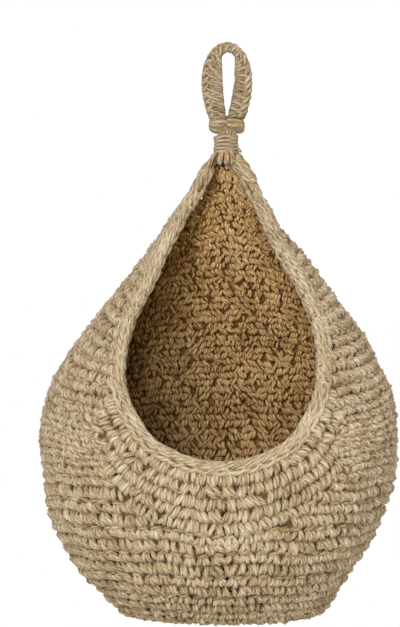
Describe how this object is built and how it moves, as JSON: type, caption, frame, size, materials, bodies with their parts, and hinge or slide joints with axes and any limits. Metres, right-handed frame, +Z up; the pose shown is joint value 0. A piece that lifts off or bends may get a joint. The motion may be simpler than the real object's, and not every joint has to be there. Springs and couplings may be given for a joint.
{
  "type": "hanging fruit basket",
  "caption": "Teardrop hanging basket crocheted in jute, with a tall oval mouth in front, a braided edging, a bound neck and a covered hanging loop.",
  "frame": {"origin": "the crown of the eye of the hanging loop, where the loop bears on a hook", "axes": "+Z up along the neck, +X to the right as the mouth is seen, -Y out of the mouth, +Y toward the closed back"},
  "size_m": [0.329, 0.2265, 0.5248],
  "materials": {
    "jute_wall": "matte crocheted jute yarn",
    "jute_edging": "matte braided jute edging, a little paler",
    "jute_loop": "matte crocheted jute over a cord",
    "jute_core": "matte bundled jute yarn, hidden"
  },
  "bodies": {
    "loop": {"loop_core": "jute_core", "loop_cover": "jute_loop", "loop_foot_left": "jute_loop", "loop_foot_right": "jute_loop"},
    "neck": {"neck_core": "jute_core", "neck_winding": "jute_loop"},
    "bag": {"hood_crown": "jute_wall", "hood_upper": "jute_wall", "hood_middle": "jute_wall", "hood_lower": "jute_wall", "bowl_upper": "jute_wall", "bowl_lower": "jute_wall", "base_disc": "jute_wall", "rim_edging": "jute_edging"}
  },
  "joints": [
    {"name": "loop_fold", "type": "hinge", "parent": "loop", "child": "neck", "pos_m": [0, 0, -0.0665], "axis": [1, 0, 0], "range_deg": [-80, 80]},
    {"name": "basket_turn", "type": "hinge", "parent": "neck", "child": "bag", "pos_m": [0, 0, -0.0918], "axis": [0, 0, 1], "range_deg": [-45, 45]}
  ]
}
